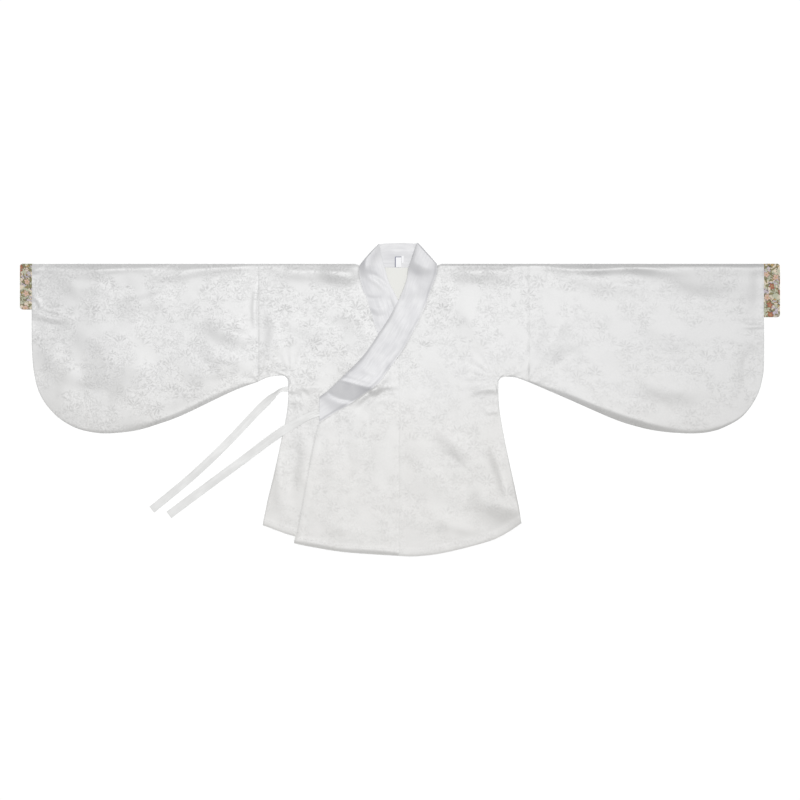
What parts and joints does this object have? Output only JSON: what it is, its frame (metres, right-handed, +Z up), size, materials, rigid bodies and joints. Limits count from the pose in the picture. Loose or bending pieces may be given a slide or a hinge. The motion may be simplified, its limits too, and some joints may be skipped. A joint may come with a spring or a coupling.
{
  "type": "crossed-collar hanfu jacket with pipa sleeves, laid out flat",
  "caption": "Short hanfu upper garment laid flat: crossed collar band, wide rounded sleeves with patterned cuffs, overlapping fronts and cloth side ties.",
  "frame": {"origin": "on the table, under the middle of the garment's bounding box", "axes": "+X across the span of the sleeves towards the wearer's left cuff, +Y from the hem to the collar, +Z up from the table"},
  "size_m": [1.8, 0.7421, 0.0115],
  "materials": {
    "white_jacquard": "white satin jacquard with tone-on-tone sprigs",
    "collar_satin": "smooth satin, white with a cool cast",
    "tie_satin": "smooth white satin",
    "floral_cuff": "cream cloth with a dense blossom and leaf print",
    "label_tape": "matt woven tape, bare"
  },
  "bodies": {
    "root": {"body_right": "white_jacquard", "body_left": "white_jacquard", "outer_overlap": "white_jacquard", "inner_overlap": "white_jacquard", "sleeve_right": "white_jacquard", "sleeve_left": "white_jacquard", "cuff_right": "floral_cuff", "cuff_left": "floral_cuff", "collar": "collar_satin", "tie_side": "tie_satin", "tie_front": "tie_satin", "label": "label_tape", "size_tab": "label_tape"}
  },
  "joints": []
}
